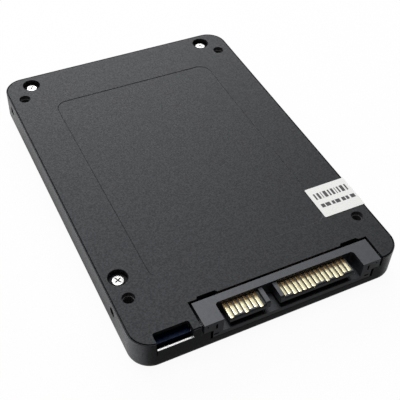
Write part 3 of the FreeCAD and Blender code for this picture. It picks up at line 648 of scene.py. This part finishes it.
def grid_array_chip(node):
    """A ball-grid package: thin substrate, moulded cap and the outer row of balls."""
    low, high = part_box(node)
    bm = bmesh.new()
    lift = 0.25 * MM
    base = 0.28 * MM
    add_box(bm, (low.x, low.y, low.z + lift), (high.x, high.y, low.z + lift + base), 0.03 * MM, 1)
    inset = 0.7 * MM
    add_box(bm, (low.x + inset, low.y + inset, low.z + lift + base - 0.01 * MM),
            (high.x - inset, high.y - inset, high.z), 0.10 * MM)
    pitch, size = 0.8 * MM, 0.2 * MM
    across = int((high.x - low.x - 2 * inset) / pitch)
    along = int((high.y - low.y - 2 * inset) / pitch)
    for i in range(across + 1):
        for j in range(along + 1):
            if 0 < i < across and 0 < j < along:
                continue
            x = (low.x + high.x) / 2 + (i - across / 2) * pitch
            y = (low.y + high.y) / 2 + (j - along / 2) * pitch
            ball = [(0.0, 0.0), (size * 0.8, 0.03 * MM), (size, 0.13 * MM),
                    (size * 0.8, 0.23 * MM), (0.0, lift)]
            add_lathe(bm, ball, (x, y, low.z), 8, 2)
    piece(f"{node}_package", bm, [epoxy, substrate, tin], ROOT, [node])


def flat_chip(node):
    """A no-lead package with metal pads showing along its four lower edges."""
    low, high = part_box(node)
    bm = bmesh.new()
    edge = 0.02 * MM
    add_box(bm, (low.x + edge, low.y + edge, low.z + edge), (high.x - edge, high.y - edge, high.z),
            0.06 * MM)
    count, pitch, half = 7, 0.6 * MM, 0.13 * MM
    mid = (low + high) / 2
    for i in range(count):
        shift = (i - (count - 1) / 2) * pitch
        for x0, x1, y0, y1 in (
                (mid.x + shift - half, mid.x + shift + half, low.y, low.y + 0.3 * MM),
                (mid.x + shift - half, mid.x + shift + half, high.y - 0.3 * MM, high.y),
                (low.x, low.x + 0.3 * MM, mid.y + shift - half, mid.y + shift + half),
                (high.x - 0.3 * MM, high.x, mid.y + shift - half, mid.y + shift + half)):
            add_box(bm, (x0, y0, low.z), (x1, y1, low.z + 0.22 * MM), 0.02 * MM, 1, 1)
    piece(f"{node}_package", bm, [epoxy, tin], ROOT, [node])


def crystal(node):
    """A crystal in a low tinned can on a ceramic base."""
    low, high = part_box(node)
    bm = bmesh.new()
    add_box(bm, low, (high.x, high.y, low.z + 0.42 * MM), 0.05 * MM, 1)
    inset = 0.14 * MM
    add_box(bm, (low.x + inset, low.y + inset, low.z + 0.40 * MM),
            (high.x - inset, high.y - inset, high.z), 0.10 * MM, 0, 3)
    piece(f"{node}_can", bm, [tin, ceramic], ROOT, [node])


def inductors(node):
    """Pressed powder blocks with a terminal wrapped under each side."""
    bm = bmesh.new()
    for low, high in islands(node):
        lift = 0.12 * MM
        add_box(bm, (low.x + 0.06 * MM, low.y, low.z + lift), (high.x - 0.06 * MM, high.y, high.z),
                0.28 * MM, 0, 3)
        width = (high.y - low.y) * 0.3
        mid = (low.y + high.y) / 2
        for x0, x1 in ((low.x, low.x + 0.7 * MM), (high.x - 0.7 * MM, high.x)):
            add_box(bm, (x0, mid - width, low.z), (x1, mid + width, low.z + 0.16 * MM),
                    0.03 * MM, 1)
        for x0, x1 in ((low.x, low.x + 0.12 * MM), (high.x - 0.12 * MM, high.x)):
            add_box(bm, (x0, mid - width, low.z), (x1, mid + width, low.z + 0.95 * MM),
                    0.03 * MM, 1)
    piece(f"{node}_detail", bm, [ferrite, tin], ROOT, [node])


def tantalums(node):
    """Moulded capacitors: rounded body, polarity stripe and a bent terminal at each end."""
    bm = bmesh.new()
    for low, high in islands(node):
        gap = 0.14 * MM
        body_low, body_high = low.y + gap, high.y - gap
        split = body_high - 1.1 * MM
        add_box(bm, (low.x, body_low, low.z + 0.1 * MM), (high.x, split, high.z), 0.16 * MM, 0, 3)
        add_box(bm, (low.x, split - 0.34 * MM, low.z + 0.1 * MM),
                (high.x, body_high, high.z - 0.004 * MM), 0.16 * MM, 1, 3)
        mid, width = (low.x + high.x) / 2, 1.2 * MM
        for y0, y1, f0, f1 in ((low.y, low.y + gap, low.y, low.y + 1.3 * MM),
                               (high.y - gap, high.y, high.y - 1.3 * MM, high.y)):
            add_box(bm, (mid - width, y0, low.z), (mid + width, y1, low.z + 1.0 * MM),
                    0.04 * MM, 2)
            add_box(bm, (mid - width, f0, low.z), (mid + width, f1, low.z + 0.12 * MM),
                    0.04 * MM, 2)
    piece(f"{node}_detail", bm, [yellow, stripe, tin], ROOT, [node])


def chip_parts(node, body_material, film_material=None):
    """Surface-mount chips: a fired body between two plated ends."""
    bm = bmesh.new()
    for low, high in islands(node):
        span = high - low
        axis = 0 if span.x > span.y else 1
        cap = 0.24 * span[axis]
        inset = 0.02 * MM
        inner_low, inner_high = low.copy(), high.copy()
        inner_low[axis] += cap * 0.8
        inner_high[axis] -= cap * 0.8
        for i in range(3):
            if i != axis:
                inner_low[i] += inset
                inner_high[i] -= inset
        add_box(bm, inner_low, inner_high, 0.02 * MM, 0, 1)
        if film_material:
            top_low = inner_low.copy()
            top_low.z = inner_high.z - 0.05 * MM
            top_high = inner_high.copy()
            top_high.z += 0.012 * MM
            add_box(bm, top_low, top_high, 0.01 * MM, 2, 1)
        for side in (0, 1):
            end_low, end_high = low.copy(), high.copy()
            if side:
                end_low[axis] = high[axis] - cap
            else:
                end_high[axis] = low[axis] + cap
            add_box(bm, end_low, end_high, 0.06 * MM, 1, 2)
    materials = [body_material, tin] + ([film_material] if film_material else [])
    piece(f"{node}_detail", bm, materials, ROOT, [node])


def soft_pad(node):
    """A gap pad: pillowed edges where it is pressed between chip and case."""
    low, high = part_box(node)
    bm = bmesh.new()
    round_edge = min(0.35 * MM, (high.z - low.z) * 0.38)
    add_box(bm, low, high, round_edge, 0, 4)
    made = piece(f"{node}_soft", bm, [pad_grey], ROOT, [node], smooth=60)


def solder_tabs(node):
    """Hold-down tabs, each with its solder joint as a low dome on the outer end."""
    bm = bmesh.new()
    middle = (board_low.x + board_high.x) / 2
    for low, high in islands(node):
        tall = high.z - low.z
        add_box(bm, low, (high.x, high.y, low.z + 0.6 * tall), 0.05 * MM)
        radius = 0.44 * MM
        outer = low.x + radius if low.x < middle else high.x - radius
        dome = [(0.0, 0.0), (radius, 0.0)]
        for step in range(1, 6):
            angle = math.radians(18 * step)
            dome.append((radius * math.cos(angle), tall * math.sin(angle)))
        dome[-1] = (0.0, tall)
        add_lathe(bm, dome, (outer, low.y + 0.46 * MM, low.z), 24)
    piece(f"{node}_detail", bm, [tin], ROOT, [node])


for kept, item in (("housing", housing_paint), ("bottom_cover", paint),
                   ("sata_connector_housing", connector_plastic), ("circuit_board", mask),
                   ("warranty_seal", seal_film), ("product_label", label_film)):
    dress(kept, item)

contact_blades("signal_contacts")
contact_blades("power_contacts")
for joint_body, members in frame["record"]["behaviour"]["bodies"].items():
    for member in members:
        if member.endswith("_screw"):
            screw(member, joint_body)
for number in range(1, 9):
    flash_chip(f"flash_chip_{number}")
grid_array_chip("controller_chip")
grid_array_chip("memory_buffer_chip")
flat_chip("power_regulator_chip")
crystal("crystal_oscillator")
inductors("power_inductors")
tantalums("hold_up_capacitors")
chip_parts("ceramic_capacitors", ceramic)
chip_parts("chip_resistors", alumina, epoxy)
for pad_node in ("controller_thermal_pad", "left_flash_thermal_pad", "right_flash_thermal_pad"):
    soft_pad(pad_node)
solder_tabs("connector_solder_tabs")

# ---- stage -------------------------------------------------------------------------------


# Strength of the mirrored table's glow in the open and under the painted shadow in front, and
# the factor of painted shade that dims it from the left wall and on to the right.
TABLE_LIT = 1.75
TABLE_SHADE = 0.20
TABLE_WALL_SHADE = 0.45


def floor():
    """A white table. Seen directly it stays white paper with a faint shadow. What the object
    mirrors is the table's glow, which carries a painted shadow in front where a light from behind
    would leave one. Along most of the object's length the glow carries a dimmer painted shade, from
    just outside the left wall and on to the right."""
    mesh = bpy.data.meshes.new("floor")
    half = 3.0
    mesh.from_pydata([(-half, -half, 0), (half, -half, 0), (half, half, 0), (-half, half, 0)],
                     [], [(0, 1, 2, 3)])
    made = bpy.data.objects.new("floor", mesh)
    bpy.context.scene.collection.objects.link(made)
    finish = Finish("floor_white", (0.82, 0.82, 0.82), 0.8, specular=0.1)
    x, y = finish.axes()[:2]
    # Painted shadow in the glow that the object mirrors: dim ahead of the drive, widening away from
    # it.
    ahead = finish.remap(y, -46 * MM, -51 * MM)
    spread = finish.math("MAXIMUM", finish.math("SUBTRACT", -50 * MM, y), 0.0)
    left = finish.remap(finish.math("ADD", x, spread), -39 * MM, -31 * MM)
    right = finish.remap(finish.math("SUBTRACT", x, spread), 38 * MM, 30 * MM)
    shade = finish.math("MULTIPLY", ahead, finish.math("MULTIPLY", left, right))
    lit = finish.remap(shade, 0.0, 1.0, TABLE_LIT, TABLE_SHADE)
    # Painted shade in the glow just outside the left wall, along most of the drive's length.
    wall_shade = finish.math("MULTIPLY", finish.remap(x, -39.5 * MM, -36.5 * MM),
                         finish.band(y, -36 * MM, 40 * MM, 5 * MM))
    lit = finish.math("MULTIPLY", lit, finish.remap(wall_shade, 0.0, 1.0, 1.0, TABLE_WALL_SHADE))
    eye = finish.node("ShaderNodeLightPath").outputs["Is Camera Ray"]
    level = finish.math("ADD", finish.math("MULTIPLY", eye, 1.0),
                        finish.math("MULTIPLY", finish.math("SUBTRACT", 1.0, eye), lit))
    glow = finish.node("ShaderNodeEmission", {"Color": (1.0, 1.0, 1.0, 1.0), "Strength": level})
    share = finish.remap(eye, 0.0, 1.0, 1.0, 0.95)
    both = finish.node("ShaderNodeMixShader", {0: share})
    links = finish.tree.links
    links.new(finish.shader.outputs[0], both.inputs[1])
    links.new(glow.outputs[0], both.inputs[2])
    links.new(both.outputs[0], finish.tree.nodes["Material Output"].inputs["Surface"])
    mesh.materials.append(finish.material)


def soft_light(name, place, aim, size, power):
    """A rectangular lamp that the camera does not see."""
    light = bpy.data.lights.new(name, "AREA")
    light.shape = "RECTANGLE"
    light.size, light.size_y = size
    light.energy = power
    made = bpy.data.objects.new(name, light)
    made.location = Vector(place)
    made.rotation_euler = (Vector(aim) - Vector(place)).to_track_quat("-Z", "Y").to_euler()
    made.visible_camera = False
    bpy.context.scene.collection.objects.link(made)


def camera():
    """The viewpoint: direction, roll and distance of the eye about a point on the screw side."""
    azimuth, elevation, roll = (math.radians(a) for a in (-28.612, 46.073, 3.481))
    aim = Vector((-2.787 * MM, -15.155 * MM, TOP))
    distance = 195.298 * MM
    back = Vector((math.sin(azimuth) * math.cos(elevation),
                   -math.cos(azimuth) * math.cos(elevation), math.sin(elevation)))
    level = Vector((math.cos(azimuth), math.sin(azimuth), 0.0))
    upright = back.cross(level)
    right = math.cos(roll) * level + math.sin(roll) * upright
    up = -math.sin(roll) * level + math.cos(roll) * upright
    eye = aim + back * distance
    data = bpy.data.cameras.new("camera")
    data.sensor_width = 36.0
    data.lens = 69.695
    data.clip_start = 0.005
    data.clip_end = 20.0
    made = bpy.data.objects.new("camera", data)
    made.matrix_world = Matrix((
        (right.x, up.x, back.x, eye.x),
        (right.y, up.y, back.y, eye.y),
        (right.z, up.z, back.z, eye.z),
        (0.0, 0.0, 0.0, 1.0)))
    bpy.context.scene.collection.objects.link(made)
    bpy.context.scene.camera = made


floor()
soft_light("back_softbox", (0.05, 0.85, 0.50), (0, 0, 0), (1.1, 0.40), 9.2)
soft_light("top_softbox", (-0.10, 0.15, 1.20), (0, 0, 0), (0.6, 0.6), 6.5)
soft_light("overhead", (0.30, 0.45, 1.1), (0, 0, 0), (1.2, 1.2), 3.3)
world = bpy.data.worlds.new("studio")
world.use_nodes = True
tree = world.node_tree
eye = tree.nodes.new("ShaderNodeLightPath").outputs["Is Camera Ray"]
level = tree.nodes.new("ShaderNodeMapRange")
level.inputs["To Min"].default_value = 0.05
tree.links.new(eye, level.inputs["Value"])
tree.links.new(level.outputs["Result"], tree.nodes["Background"].inputs["Strength"])
tree.nodes["Background"].inputs["Color"].default_value = (1.0, 1.0, 1.0, 1.0)
bpy.context.scene.world = world
bpy.context.scene.view_settings.view_transform = "Standard"
camera()
